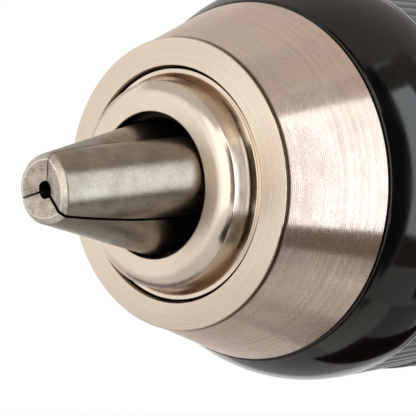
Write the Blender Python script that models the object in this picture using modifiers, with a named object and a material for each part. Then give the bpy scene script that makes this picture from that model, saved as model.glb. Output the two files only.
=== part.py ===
"""Keyless three-jaw drill chuck for shanks up to 13 mm, modelled with its jaws closed.

The chuck's axis lies along world Y, with the jaws towards -Y. The origin is on that axis, in the plane of the
rear face that seats on the drill's spindle. A station is a distance along the axis, measured rearwards from the
front face of the cone shroud. A reach is a distance from the axis. Every piece hangs under one empty whose
local +Z is the rearward axis, so a local point is (across, across, station).
"""

import math

import bmesh
import bpy
from mathutils import Matrix, Vector

MM = 0.001

# Gripping range and jaws
LARGEST_SHANK = 13.0 * MM
SMALLEST_SHANK = 1.5 * MM
JAW_COUNT = 3
JAW_ANGLE = math.radians(15.0)
JAW_RADIUS = 3.9 * MM
JAW_AXIS_OFFSET = -0.7 * MM
JAW_PHASE = math.radians(-17.0)
JAW_PROJECTION = 13.9 * MM
JAW_TIP_CHAMFER = 0.5 * MM
JAW_TAIL_CHAMFER = 1.2 * MM
JAW_TAIL_PAST_THREAD = 1.5 * MM
JAW_SLIT = 0.3 * MM
TOOTH_SETBACK = 0.6 * MM

# Conical thread between the nut and the jaws
THREAD_PITCH = 2.4 * MM
THREAD_HEIGHT = 0.8 * MM
THREAD_CREST = 0.6 * MM
THREAD_BASE = 1.2 * MM
THREAD_TOP_GAP = 0.25 * MM
THREAD_ROOT_GAP = 0.5 * MM
THREAD_SIDE_GAP = 0.2 * MM
NUT_THREAD_LENGTH = 5.2 * MM
NUT_LEAD_IN = 1.4 * MM
NUT_END_LAND = 0.4 * MM
NUT_WALL = 3.3 * MM
NUT_SPLIT = math.radians(1.2)
COLLAR_WALL = 1.2 * MM
COLLAR_LIP = 0.9 * MM

# Clearances
FIT_GAP = 0.25 * MM
SEAT_GAP = 0.3 * MM
RUNNING_GAP = 0.25 * MM
BORE_GAP = 0.15 * MM
ROLLING_GAP = 0.15 * MM
SHANK_GAP = 0.25 * MM

# Nose ring
NOSE_PROUD = 3.2 * MM
NOSE_HOLE_GAP = 0.3 * MM
NOSE_LIP = 0.9 * MM
NOSE_SEAT_STATION = 3.5 * MM
NOSE_WALL = 0.6 * MM
RING_WALL = 1.25 * MM
RING_ROUNDING = 1.9 * MM
RING_FLANGE_WIDTH = 0.65 * MM
RING_FLANGE_FRONT = -0.2 * MM
RING_FLANGE_THICKNESS = 1.1 * MM

# Cone shroud
SHROUD_FACE_WIDTH = 2.85 * MM
SHROUD_STEP = 0.75 * MM
SHROUD_WALL = 1.2 * MM
SHROUD_INSET = 3.35 * MM
SPIGOT_INSET = 0.8 * MM
SPIGOT_LENGTH = 4.3 * MM
SPIGOT_TO_NUT = 2.7 * MM

# Thrust bearing
RACE_THICKNESS = 1.2 * MM
RACE_WIDTH = 3.15 * MM
BALL_DIAMETER = 2.2 * MM
BALL_COUNT = 14
POCKET_GAP = 0.15 * MM
CAGE_THICKNESS = 1.3 * MM

# Body
BODY_WALL = 0.3 * MM
SEAT_WALL = 0.5 * MM
FLANGE_THICKNESS = 2.5 * MM
REAR_STEP = 0.7 * MM
HUB_RADIUS = 11.9 * MM
SHANK_BORE_END = 31.0 * MM
WEB_THICKNESS = 5.0 * MM
SPINDLE_BORE_RADIUS = 5.75 * MM
SPINDLE_CHAMFER = 0.85 * MM

# Retaining screw
SCREW_RADIUS = 2.95 * MM
SCREW_HEAD_RADIUS = 5.2 * MM
SCREW_HEAD_HEIGHT = 3.5 * MM
SCREW_SHANK_LENGTH = 13.0 * MM
SCREW_SOCKET_RADIUS = 2.3 * MM
SCREW_SOCKET_DEPTH = 2.2 * MM
SCREW_HEAD_CHAMFER = 0.5 * MM

# Grip sleeve and rear closure
SLEEVE_WALL = 1.95 * MM
SLEEVE_BULGE_LENGTH = 10.4 * MM
SLEEVE_BULGE_RISE = 3.1 * MM
SLEEVE_FRONT_ROUNDING = 0.35 * MM
WAIST_LENGTH = 6.0 * MM
FLARE_LENGTH = 13.0 * MM
FLARE_RISE = 0.85 * MM
SLEEVE_REAR_ROUNDING = 1.4 * MM
SLEEVE_REAR_LIP = 1.5 * MM
SLEEVE_BORE_GAP = 0.5 * MM
TAIL_TO_COVER = 0.9 * MM
COVER_THICKNESS = 1.5 * MM
COVER_RIM = 0.8 * MM
CLIP_THICKNESS = 1.0 * MM
CLIP_DEPTH = 0.9 * MM
CLIP_WIDTH = 2.0 * MM
CLIP_OPENING = 5.0 * MM
HUB_PAST_COVER = 3.0 * MM

# Smoothness of the turned pieces
COARSE_STEPS = 48
JAW_STEPS = 32
THREAD_STEPS = 24
ARC_STEPS = 5
PAST = 3.0 * MM
FAR = 80.0 * MM

# Stations and radii that follow from the sizes above
SLOPE = math.tan(JAW_ANGLE)
GRIP_CLOSED = SMALLEST_SHANK / 2
SPREAD = (LARGEST_SHANK - SMALLEST_SHANK) / 2
TRAVEL = SPREAD / SLOPE
TIP_STATION = -NOSE_PROUD - JAW_PROJECTION
TEETH_FRONT = TOOTH_SETBACK - NOSE_PROUD
NUT_THREAD_FRONT = TEETH_FRONT + TRAVEL + THREAD_CREST
NUT_FRONT = NUT_THREAD_FRONT - NUT_LEAD_IN
NUT_THREAD_REAR = NUT_THREAD_FRONT + NUT_THREAD_LENGTH
NUT_REAR = NUT_THREAD_REAR + NUT_END_LAND


def jaw_reach(station):
    """How far the outermost line of a jaw lies from the chuck's axis."""
    outer_line = (JAW_AXIS_OFFSET + JAW_RADIUS) / math.cos(JAW_ANGLE)
    return outer_line + (station - TIP_STATION) * SLOPE


def bore_reach(station):
    """How far the outermost line of a jaw's bore lies from the chuck's axis."""
    return jaw_reach(station) + BORE_GAP / math.cos(JAW_ANGLE)


def station_of_inner_line(reach):
    """Where the innermost line of a jaw's bore passes a distance from the axis."""
    inner_line = (JAW_AXIS_OFFSET - JAW_RADIUS - BORE_GAP) / math.cos(JAW_ANGLE)
    return TIP_STATION + (reach - inner_line) / SLOPE


JAW_OUTER_TAIL_STATION = NUT_THREAD_REAR + JAW_TAIL_PAST_THREAD
JAW_LENGTH = (
    JAW_OUTER_TAIL_STATION - TIP_STATION + (JAW_AXIS_OFFSET + JAW_RADIUS) * math.sin(JAW_ANGLE)
) / math.cos(JAW_ANGLE)
TAIL_STATION_OPEN = JAW_OUTER_TAIL_STATION + 2 * JAW_RADIUS * math.sin(JAW_ANGLE) + TRAVEL
OPEN_REACH = jaw_reach(JAW_OUTER_TAIL_STATION - JAW_TAIL_CHAMFER * math.cos(JAW_ANGLE)) + SPREAD

SHANK_BORE_RADIUS = LARGEST_SHANK / 2 + SHANK_GAP
NOSE_HOLE_RADIUS = max(jaw_reach(-NOSE_PROUD), SHANK_BORE_RADIUS) + NOSE_HOLE_GAP
NOSE_FACE_STATION = -NOSE_PROUD + NOSE_LIP + SEAT_GAP
NOSE_RADIUS = max(bore_reach(NOSE_SEAT_STATION), NOSE_HOLE_RADIUS) + NOSE_WALL
RING_INNER = NOSE_RADIUS + FIT_GAP
RING_OUTER = RING_INNER + RING_WALL
RING_FLANGE_RADIUS = RING_OUTER + RING_FLANGE_WIDTH

GROOVE_FRONT = NUT_FRONT - SEAT_GAP
GROOVE_REAR = NUT_REAR + SEAT_GAP
GROOVE_RADIUS = jaw_reach(NUT_THREAD_FRONT) - THREAD_HEIGHT - SEAT_GAP
BODY_FRONT_RADIUS = bore_reach(GROOVE_FRONT) + BODY_WALL
NUT_OUTER = jaw_reach(NUT_REAR) + THREAD_TOP_GAP + NUT_WALL
COLLAR_INNER = NUT_OUTER + FIT_GAP
COLLAR_OUTER = COLLAR_INNER + COLLAR_WALL
COLLAR_FRONT = NUT_FRONT - SEAT_GAP - COLLAR_WALL

RACE_FRONT = NUT_REAR + SEAT_GAP
BALL_STATION = RACE_FRONT + RACE_THICKNESS + ROLLING_GAP + BALL_DIAMETER / 2
THRUST_RING_FRONT = BALL_STATION + BALL_DIAMETER / 2 + ROLLING_GAP
BODY_SHOULDER = THRUST_RING_FRONT + RACE_THICKNESS + SEAT_GAP
BEARING_SEAT_RADIUS = bore_reach(BODY_SHOULDER) + SEAT_WALL
RACE_INNER = BEARING_SEAT_RADIUS + FIT_GAP
RACE_OUTER = RACE_INNER + RACE_WIDTH
BALL_CIRCLE = (RACE_INNER + RACE_OUTER) / 2
FLANGE_REAR = BODY_SHOULDER + FLANGE_THICKNESS
REAR_RADIUS = BEARING_SEAT_RADIUS + REAR_STEP

SLEEVE_RADIUS = RACE_OUTER + SEAT_GAP + SLEEVE_WALL
CONE_FRONT_RADIUS = RING_FLANGE_RADIUS + RUNNING_GAP + SHROUD_FACE_WIDTH
CONE_REAR_RADIUS = SLEEVE_RADIUS - SHROUD_INSET
CONE_REAR = NUT_FRONT - SPIGOT_TO_NUT - SPIGOT_LENGTH
SPIGOT_RADIUS = CONE_REAR_RADIUS - SPIGOT_INSET
SPIGOT_END = CONE_REAR + SPIGOT_LENGTH
SLEEVE_FRONT = CONE_REAR + RUNNING_GAP
SLEEVE_REAR_BORE = max(OPEN_REACH + SLEEVE_BORE_GAP, RACE_OUTER + SEAT_GAP)
COVER_FRONT = TAIL_STATION_OPEN + TAIL_TO_COVER
COVER_REAR = COVER_FRONT + COVER_THICKNESS
HUB_FRONT = min(station_of_inner_line(HUB_RADIUS + FIT_GAP), COVER_FRONT - SEAT_GAP)
COVER_RADIUS = SLEEVE_REAR_BORE - FIT_GAP
CLIP_FRONT = COVER_REAR + SEAT_GAP
CLIP_INNER = HUB_RADIUS - CLIP_DEPTH + FIT_GAP
SLEEVE_REAR = COVER_REAR + SLEEVE_REAR_LIP
SEAT_STATION = COVER_REAR + HUB_PAST_COVER
WEB_FRONT = max(SHANK_BORE_END, BODY_SHOULDER)
WEB_REAR = WEB_FRONT + WEB_THICKNESS


def clear_scene():
    for leftover in list(bpy.data.objects):
        bpy.data.objects.remove(leftover)


def new_collection(name):
    collection = bpy.data.collections.new(name)
    bpy.context.scene.collection.children.link(collection)
    return collection


def material(name, colour, roughness, metallic):
    made = bpy.data.materials.new(name)
    made.use_nodes = True
    shader = made.node_tree.nodes["Principled BSDF"]
    shader.inputs["Base Color"].default_value = (*colour, 1.0)
    shader.inputs["Roughness"].default_value = roughness
    shader.inputs["Metallic"].default_value = metallic
    return made


def add_object(name, mesh, parent, finish, collection):
    made = bpy.data.objects.new(name, mesh)
    collection.objects.link(made)
    made.parent = parent
    if finish:
        mesh.materials.append(finish)
    return made


def add_cutter(name, mesh, parent):
    cutter = add_object(name, mesh, parent, None, CUTTERS)
    cutter.hide_render = True
    cutter.display_type = "WIRE"
    return cutter


def boolean(target, cutter, operation):
    modifier = target.modifiers.new(cutter.name, "BOOLEAN")
    modifier.operation = operation
    modifier.object = cutter
    modifier.solver = "EXACT"


def arc(centre, radius, start, end, steps=ARC_STEPS):
    """Points (station, reach) round part of a circle, with angles from the station axis towards reach."""
    points = []
    for step in range(steps + 1):
        angle = math.radians(start + (end - start) * step / steps)
        points.append((centre[0] + radius * math.cos(angle), centre[1] + radius * math.sin(angle)))
    return points


def signed_area(outline):
    total = 0.0
    for (station, reach), (next_station, next_reach) in zip(outline, outline[1:] + outline[:1]):
        total += reach * next_station - next_reach * station
    return total / 2


def turned_mesh(name, outline, closed):
    """A mesh of edges at +X, ordered so that its outer side runs from the highest station to the lowest."""
    if signed_area(outline) > 0:
        outline = outline[::-1]
    mesh = bpy.data.meshes.new(name)
    points = [(reach, 0.0, station) for station, reach in outline]
    edges = [(index, index + 1) for index in range(len(points) - 1)]
    if closed:
        edges.append((len(points) - 1, 0))
    mesh.from_pydata(points, edges, [])
    return mesh


def spin(made, steps):
    modifier = made.modifiers.new("turn", "SCREW")
    modifier.axis = "Z"
    modifier.angle = 2 * math.pi
    modifier.steps = steps
    modifier.render_steps = steps
    modifier.use_merge_vertices = True
    modifier.merge_threshold = 1e-6
    modifier.use_smooth_shade = True


def turned(name, outline, finish, closed=True, steps=COARSE_STEPS, parent=None):
    """A piece turned from an outline of (station, reach) points about the axis of its parent."""
    made = add_object(name, turned_mesh(name, outline, closed), parent or AXIS, finish, PARTS)
    spin(made, steps)
    return made


def turned_cutter(name, outline, parent, steps):
    cutter = add_cutter(name, turned_mesh(name, outline, False), parent)
    spin(cutter, steps)
    return cutter


def finished_mesh(name, shape):
    mesh = bpy.data.meshes.new(name)
    bmesh.ops.recalc_face_normals(shape, faces=shape.faces)
    shape.to_mesh(mesh)
    shape.free()
    return mesh


def prism_into(shape, corners, direction):
    """Adds to a bmesh the solid swept from a flat ring of corners along a direction."""
    start = [shape.verts.new(corner) for corner in corners]
    face = shape.faces.new(start)
    swept = bmesh.ops.extrude_face_region(shape, geom=[face])
    moved = [item for item in swept["geom"] if isinstance(item, bmesh.types.BMVert)]
    bmesh.ops.translate(shape, verts=moved, vec=direction)


def make_jaw_guide(number):
    """An empty on a jaw's axis, where its tip face crosses it, with local +Z running rearwards and outwards."""
    guide = bpy.data.objects.new(f"jaw_{number}_guide", None)
    guide.empty_display_size = JAW_RADIUS
    PARTS.objects.link(guide)
    guide.parent = AXIS
    turn = Matrix.Rotation(JAW_PHASE + 2 * math.pi * (number - 1) / JAW_COUNT, 4, "Z")
    lean = Matrix.Rotation(JAW_ANGLE, 4, "Y")
    across = Matrix.Translation((JAW_AXIS_OFFSET, 0.0, 0.0))
    guide.matrix_local = turn @ Matrix.Translation((0.0, 0.0, TIP_STATION)) @ lean @ across
    return guide


def jaw_angle_about_axis(number):
    return JAW_PHASE + 2 * math.pi * (number - 1) / JAW_COUNT


def make_sector_cutter(number):
    """The third of the space round the axis that one jaw may fill, less half a slit on each side."""
    apex = JAW_SLIT / 2 / math.sin(math.pi / JAW_COUNT)
    spread = FAR * math.tan(math.pi / JAW_COUNT)
    front = TIP_STATION - FAR
    corners = [(apex, 0.0, front), (apex + FAR, -spread, front), (apex + FAR, spread, front)]
    shape = bmesh.new()
    prism_into(shape, corners, (0.0, 0.0, 3 * FAR))
    cutter = add_cutter(f"jaw_{number}_sector", finished_mesh("sector", shape), AXIS)
    cutter.rotation_euler.z = jaw_angle_about_axis(number)
    return cutter


def make_grip_cutter(number):
    """A six-sided bar on the chuck's axis, which leaves each jaw a flat gripping land."""
    shape = bmesh.new()
    bar_radius = GRIP_CLOSED / math.cos(math.pi / 6)
    bmesh.ops.create_cone(
        shape, cap_ends=True, segments=6, radius1=bar_radius, radius2=bar_radius, depth=2 * FAR
    )
    bmesh.ops.rotate(shape, verts=shape.verts, matrix=Matrix.Rotation(math.pi / 6, 3, "Z"))
    cutter = add_cutter(f"jaw_{number}_grip", finished_mesh("grip", shape), AXIS)
    cutter.rotation_euler.z = jaw_angle_about_axis(number)
    return cutter


def ridge_station(angle, turn):
    """The station of the nut's ridge at an angle about the axis, on one of its turns."""
    return NUT_THREAD_FRONT + THREAD_PITCH * (angle / (2 * math.pi) + turn)


def make_teeth_cutter(number):
    """The grooves across a jaw's outer side that the nut's ridge runs in."""
    angle = jaw_angle_about_axis(number)
    flank = (THREAD_BASE - THREAD_CREST) / 2 / (THREAD_HEIGHT + THREAD_TOP_GAP)
    depth = THREAD_HEIGHT + THREAD_ROOT_GAP
    foot = THREAD_CREST / 2 + THREAD_SIDE_GAP
    above = JAW_RADIUS / 4
    first = math.ceil((TEETH_FRONT - ridge_station(angle, 0)) / THREAD_PITCH)
    last = math.floor((JAW_OUTER_TAIL_STATION - ridge_station(angle, 0)) / THREAD_PITCH)
    shape = bmesh.new()
    for turn in range(first, last + 1):
        middle = ridge_station(angle, turn)
        corners = []
        for side, level in ((-1, -depth), (1, -depth), (1, above), (-1, above)):
            station = middle + side * (foot + flank * (level + depth))
            corners.append((jaw_reach(station) + level, -2 * JAW_RADIUS, station))
        prism_into(shape, corners, (0.0, 4 * JAW_RADIUS, 0.0))
    cutter = add_cutter(f"jaw_{number}_teeth", finished_mesh("teeth", shape), AXIS)
    cutter.rotation_euler.z = angle
    return cutter


def make_jaw(number, finish):
    """A round bar with a toothed outer side, ground to a third of a circle where the jaws meet."""
    guide = make_jaw_guide(number)
    outline = [
        (0.0, 0.0),
        (0.0, JAW_RADIUS - JAW_TIP_CHAMFER),
        (JAW_TIP_CHAMFER, JAW_RADIUS),
        (JAW_LENGTH - JAW_TAIL_CHAMFER, JAW_RADIUS),
        (JAW_LENGTH, JAW_RADIUS - JAW_TAIL_CHAMFER),
        (JAW_LENGTH, 0.0),
    ]
    jaw = turned(f"jaw_{number}", outline, finish, closed=False, steps=JAW_STEPS, parent=guide)
    boolean(jaw, make_sector_cutter(number), "INTERSECT")
    boolean(jaw, make_grip_cutter(number), "DIFFERENCE")
    boolean(jaw, make_teeth_cutter(number), "DIFFERENCE")
    return guide


def make_body(finish, guides):
    """The steel core: nose, nut groove, bearing seat, flange, rear section and hub, with all of its bores."""
    chamfer = SPINDLE_CHAMFER
    outline = [
        (NOSE_FACE_STATION, SHANK_BORE_RADIUS),
        (NOSE_FACE_STATION, NOSE_RADIUS),
        (NOSE_SEAT_STATION, NOSE_RADIUS),
        (NOSE_SEAT_STATION, BODY_FRONT_RADIUS),
        (GROOVE_FRONT, BODY_FRONT_RADIUS),
        (GROOVE_FRONT, GROOVE_RADIUS),
        (GROOVE_REAR, GROOVE_RADIUS),
        (GROOVE_REAR, BEARING_SEAT_RADIUS),
        (BODY_SHOULDER, BEARING_SEAT_RADIUS),
        (BODY_SHOULDER, RACE_OUTER),
        (FLANGE_REAR, RACE_OUTER),
        (FLANGE_REAR, REAR_RADIUS),
        (HUB_FRONT, REAR_RADIUS),
        (HUB_FRONT, HUB_RADIUS),
        (CLIP_FRONT - FIT_GAP, HUB_RADIUS),
        (CLIP_FRONT - FIT_GAP, HUB_RADIUS - CLIP_DEPTH),
        (CLIP_FRONT + CLIP_THICKNESS + FIT_GAP, HUB_RADIUS - CLIP_DEPTH),
        (CLIP_FRONT + CLIP_THICKNESS + FIT_GAP, HUB_RADIUS),
        (SEAT_STATION, HUB_RADIUS),
        (SEAT_STATION, SPINDLE_BORE_RADIUS + chamfer),
        (SEAT_STATION - chamfer, SPINDLE_BORE_RADIUS),
        (WEB_REAR, SPINDLE_BORE_RADIUS),
        (WEB_REAR, SCREW_RADIUS + FIT_GAP),
        (WEB_FRONT, SCREW_RADIUS + FIT_GAP),
        (WEB_FRONT, SHANK_BORE_RADIUS),
    ]
    body = turned("chuck_body", outline, finish)
    bore_radius = JAW_RADIUS + BORE_GAP
    bore = [(-FAR / 2, 0.0), (-FAR / 2, bore_radius), (FAR, bore_radius), (FAR, 0.0)]
    for guide in guides:
        cutter = turned_cutter(guide.name.replace("guide", "bore"), bore, guide, JAW_STEPS)
        boolean(body, cutter, "DIFFERENCE")


def make_nose_ring(finish):
    """The rounded cap pressed over the body's nose, with a thin flange that covers the shroud's edge."""
    front = -NOSE_PROUD
    flange_rear = RING_FLANGE_FRONT + RING_FLANGE_THICKNESS
    ring_rear = NOSE_SEAT_STATION - SEAT_GAP
    flare = NOSE_LIP * SLOPE
    rounding = arc((front + RING_ROUNDING, RING_OUTER - RING_ROUNDING), RING_ROUNDING, 180, 90)
    outline = [(front + NOSE_LIP, NOSE_HOLE_RADIUS + flare), (front, NOSE_HOLE_RADIUS)] + rounding
    outline += [
        (RING_FLANGE_FRONT, RING_OUTER),
        (RING_FLANGE_FRONT, RING_FLANGE_RADIUS),
        (flange_rear, RING_FLANGE_RADIUS),
        (flange_rear, RING_OUTER),
        (ring_rear, RING_OUTER),
        (ring_rear, RING_INNER),
        (front + NOSE_LIP, RING_INNER),
    ]
    turned("nose_ring", outline, finish)


def make_cone_shroud(finish):
    """The thin metal cone in front of the grip sleeve, with a spigot that plugs into the sleeve."""
    hole = RING_FLANGE_RADIUS + RUNNING_GAP
    inner_rear = SPIGOT_RADIUS - SHROUD_WALL
    outline = [
        (0.0, hole),
        (0.0, CONE_FRONT_RADIUS),
        (SHROUD_STEP, CONE_FRONT_RADIUS + FIT_GAP / 2),
        (CONE_REAR, CONE_REAR_RADIUS),
        (CONE_REAR, SPIGOT_RADIUS),
        (SPIGOT_END, SPIGOT_RADIUS),
        (SPIGOT_END, inner_rear),
        (CONE_REAR - SHROUD_WALL, inner_rear),
        (SHROUD_WALL, CONE_FRONT_RADIUS - SHROUD_WALL),
        (SHROUD_WALL, hole),
    ]
    turned("cone_shroud", outline, finish)


def sleeve_bulge(steps=8):
    """The front of the sleeve's outer side, which rises in a parabola to its full radius."""
    front = SLEEVE_RADIUS - SLEEVE_BULGE_RISE
    points = []
    for step in range(1, steps + 1):
        share = step / steps
        station = SLEEVE_FRONT + SLEEVE_FRONT_ROUNDING + share * SLEEVE_BULGE_LENGTH
        points.append((station, front + SLEEVE_BULGE_RISE * (1 - (1 - share) ** 2)))
    return points


def sleeve_flare(start, steps=6):
    """The sleeve's outer side behind its waist, which swells smoothly to the rear grip."""
    points = []
    for step in range(steps + 1):
        share = step / steps
        rise = FLARE_RISE * share * share * (3 - 2 * share)
        points.append((start + share * FLARE_LENGTH, SLEEVE_RADIUS + rise))
    return points


def make_grip_sleeve(finish):
    """The moulded sleeve that the hand turns. It grips the nut's collar and carries the cone shroud."""
    front = SLEEVE_RADIUS - SLEEVE_BULGE_RISE
    rounding = SLEEVE_FRONT_ROUNDING
    spigot_bore = SPIGOT_RADIUS + FIT_GAP
    collar_bore = COLLAR_OUTER + FIT_GAP
    bearing_bore = RACE_OUTER + SEAT_GAP
    flare_start = SLEEVE_FRONT + rounding + SLEEVE_BULGE_LENGTH + WAIST_LENGTH
    rear_reach = SLEEVE_RADIUS + FLARE_RISE
    rear_centre = (SLEEVE_REAR - SLEEVE_REAR_ROUNDING, rear_reach - SLEEVE_REAR_ROUNDING)
    outline = [(SLEEVE_FRONT, spigot_bore), (SLEEVE_FRONT, front - rounding), (SLEEVE_FRONT + rounding, front)]
    outline += sleeve_bulge() + sleeve_flare(flare_start)
    outline += arc(rear_centre, SLEEVE_REAR_ROUNDING, 90, 0)
    outline += [
        (SLEEVE_REAR, SLEEVE_REAR_BORE),
        (FLANGE_REAR, SLEEVE_REAR_BORE),
        (FLANGE_REAR, bearing_bore),
        (NUT_REAR, bearing_bore),
        (NUT_REAR, collar_bore),
        (COLLAR_FRONT - SEAT_GAP, collar_bore),
        (COLLAR_FRONT - SEAT_GAP, spigot_bore),
    ]
    turned("grip_sleeve", outline, finish)


def thread_section(angle, turns):
    """The nut's section at an angle about the axis, as (station, reach) points that keep the same order."""
    inside = []
    for turn in turns:
        middle = ridge_station(angle, turn)
        for offset, level in (
            (-THREAD_BASE / 2, THREAD_TOP_GAP),
            (-THREAD_CREST / 2, -THREAD_HEIGHT),
            (THREAD_CREST / 2, -THREAD_HEIGHT),
            (THREAD_BASE / 2, THREAD_TOP_GAP),
        ):
            station = min(max(middle + offset, NUT_THREAD_FRONT), NUT_THREAD_REAR)
            off_the_end = station != middle + offset
            inside.append((station, jaw_reach(station) + (THREAD_TOP_GAP if off_the_end else level)))
    front = (NUT_FRONT, jaw_reach(NUT_FRONT) + THREAD_TOP_GAP)
    rear = (NUT_REAR, jaw_reach(NUT_REAR) + THREAD_TOP_GAP)
    return [(NUT_REAR, NUT_OUTER), (NUT_FRONT, NUT_OUTER), front] + inside + [rear]


def make_nut_half(name, start, finish):
    """Half of the split nut. Its conical thread differs at every angle, so the half is lofted between sections."""
    shape = bmesh.new()
    turns = range(-1, math.ceil(NUT_THREAD_LENGTH / THREAD_PITCH) + 1)
    rings = []
    for step in range(THREAD_STEPS + 1):
        angle = start + NUT_SPLIT / 2 + (math.pi - NUT_SPLIT) * step / THREAD_STEPS
        ring = []
        for station, reach in thread_section(angle, turns):
            ring.append(shape.verts.new((reach * math.cos(angle), reach * math.sin(angle), station)))
        rings.append(ring)
    for ring, following in zip(rings, rings[1:]):
        for index in range(len(ring)):
            after = (index + 1) % len(ring)
            shape.faces.new((ring[index], ring[after], following[after], following[index]))
    shape.faces.new(rings[0][::-1])
    shape.faces.new(rings[-1])
    bmesh.ops.remove_doubles(shape, verts=shape.verts, dist=1e-6)
    add_object(name, finished_mesh(name, shape), AXIS, finish, PARTS)


def make_nut_collar(finish):
    """The steel band that holds the two halves of the nut together and drives them from the sleeve."""
    lip_reach = NUT_OUTER - COLLAR_LIP
    outline = [
        (NUT_REAR, COLLAR_INNER),
        (NUT_REAR, COLLAR_OUTER),
        (COLLAR_FRONT, COLLAR_OUTER),
        (COLLAR_FRONT, lip_reach),
        (NUT_FRONT - SEAT_GAP, lip_reach),
        (NUT_FRONT - SEAT_GAP, COLLAR_INNER),
    ]
    turned("nut_collar", outline, finish)


def flat_ring(name, front, thickness, inner, outer, finish):
    outline = [(front, inner), (front, outer), (front + thickness, outer), (front + thickness, inner)]
    return turned(name, outline, finish)


def ball_place(number):
    angle = 2 * math.pi * number / BALL_COUNT
    return Vector((BALL_CIRCLE * math.cos(angle), BALL_CIRCLE * math.sin(angle), BALL_STATION))


def make_ball_cage(finish):
    """The ring that spaces the balls, with a round pocket for each."""
    cage = flat_ring(
        "ball_cage",
        BALL_STATION - CAGE_THICKNESS / 2,
        CAGE_THICKNESS,
        RACE_INNER,
        RACE_OUTER - FIT_GAP / 2,
        finish,
    )
    shape = bmesh.new()
    pocket = BALL_DIAMETER / 2 + POCKET_GAP
    for number in range(BALL_COUNT):
        bmesh.ops.create_cone(
            shape,
            cap_ends=True,
            segments=16,
            radius1=pocket,
            radius2=pocket,
            depth=CAGE_THICKNESS + PAST,
            matrix=Matrix.Translation(ball_place(number)),
        )
    boolean(cage, add_cutter("ball_pockets", finished_mesh("pockets", shape), AXIS), "DIFFERENCE")


def make_balls(finish):
    shape = bmesh.new()
    bmesh.ops.create_uvsphere(shape, u_segments=12, v_segments=8, radius=BALL_DIAMETER / 2)
    mesh = finished_mesh("ball", shape)
    mesh.shade_smooth()
    mesh.materials.append(finish)
    for number in range(BALL_COUNT):
        ball = add_object(f"ball_{number + 1:02d}", mesh, AXIS, None, PARTS)
        ball.location = ball_place(number)


def make_retaining_screw(finish):
    """The left-hand screw at the bottom of the shank bore that locks the chuck to the spindle."""
    seat = WEB_FRONT - SEAT_GAP
    head_front = seat - SCREW_HEAD_HEIGHT
    outline = [
        (head_front, 0.0),
        (head_front, SCREW_HEAD_RADIUS - SCREW_HEAD_CHAMFER),
        (head_front + SCREW_HEAD_CHAMFER, SCREW_HEAD_RADIUS),
        (seat, SCREW_HEAD_RADIUS),
        (seat, SCREW_RADIUS),
        (seat + SCREW_SHANK_LENGTH - SCREW_HEAD_CHAMFER, SCREW_RADIUS),
        (seat + SCREW_SHANK_LENGTH, SCREW_RADIUS - SCREW_HEAD_CHAMFER),
        (seat + SCREW_SHANK_LENGTH, 0.0),
    ]
    screw = turned("retaining_screw", outline, finish, closed=False, steps=JAW_STEPS)
    shape = bmesh.new()
    bmesh.ops.create_cone(
        shape,
        cap_ends=True,
        segments=6,
        radius1=SCREW_SOCKET_RADIUS,
        radius2=SCREW_SOCKET_RADIUS,
        depth=2 * SCREW_SOCKET_DEPTH,
        matrix=Matrix.Translation((0.0, 0.0, head_front)),
    )
    boolean(screw, add_cutter("screw_socket", finished_mesh("socket", shape), AXIS), "DIFFERENCE")


def make_rear_cover(finish):
    """The dished plate on the hub that closes the back of the sleeve."""
    inner = HUB_RADIUS + FIT_GAP
    rim = COVER_RADIUS - COVER_RIM
    half = COVER_THICKNESS / 2
    outline = [
        (COVER_FRONT, inner),
        (COVER_FRONT, rim - COVER_THICKNESS),
        (COVER_FRONT + half, rim),
        (COVER_FRONT, rim + COVER_RIM / 2),
        (COVER_FRONT, COVER_RADIUS),
        (COVER_REAR, COVER_RADIUS),
        (COVER_REAR, inner),
    ]
    turned("rear_cover", outline, finish)


def make_retaining_clip(finish):
    """The open spring ring in the hub's groove that holds the rear cover on."""
    clip = flat_ring(
        "retaining_clip", CLIP_FRONT, CLIP_THICKNESS, CLIP_INNER, CLIP_INNER + CLIP_WIDTH, finish
    )
    shape = bmesh.new()
    bmesh.ops.create_cube(shape, size=1.0)
    size = Matrix.Diagonal((2 * HUB_RADIUS, CLIP_OPENING, CLIP_THICKNESS + PAST, 1.0))
    place = Matrix.Translation((HUB_RADIUS, 0.0, CLIP_FRONT + CLIP_THICKNESS / 2))
    bmesh.ops.transform(shape, verts=shape.verts, matrix=place @ size)
    boolean(clip, add_cutter("clip_opening", finished_mesh("opening", shape), AXIS), "DIFFERENCE")


def make_axis():
    """The empty that every piece hangs from: at the shroud's front face, with local +Z running rearwards."""
    axis = bpy.data.objects.new("chuck_axis", None)
    axis.empty_display_size = SLEEVE_RADIUS
    axis.location = (0.0, -SEAT_STATION, 0.0)
    axis.rotation_euler = (-math.pi / 2, 0.0, 0.0)
    PARTS.objects.link(axis)
    return axis


clear_scene()
PARTS = new_collection("keyless_drill_chuck")
CUTTERS = new_collection("cutters")
AXIS = make_axis()

BODY_STEEL = material("body_steel", (0.30, 0.29, 0.28), 0.35, 1.0)
NICKEL = material("satin_nickel", (0.80, 0.72, 0.62), 0.28, 1.0)
JAW_STEEL = material("jaw_steel", (0.52, 0.49, 0.44), 0.30, 1.0)
NUT_STEEL = material("nut_steel", (0.35, 0.34, 0.33), 0.40, 1.0)
BEARING_STEEL = material("bearing_steel", (0.62, 0.62, 0.62), 0.15, 1.0)
CAGE_PLASTIC = material("cage_plastic", (0.55, 0.45, 0.25), 0.50, 0.0)
BLACK_PLASTIC = material("black_plastic", (0.02, 0.02, 0.02), 0.45, 0.0)
ZINC = material("zinc_plate", (0.58, 0.58, 0.56), 0.35, 1.0)
SPRING_STEEL = material("spring_steel", (0.12, 0.12, 0.13), 0.40, 1.0)

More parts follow.
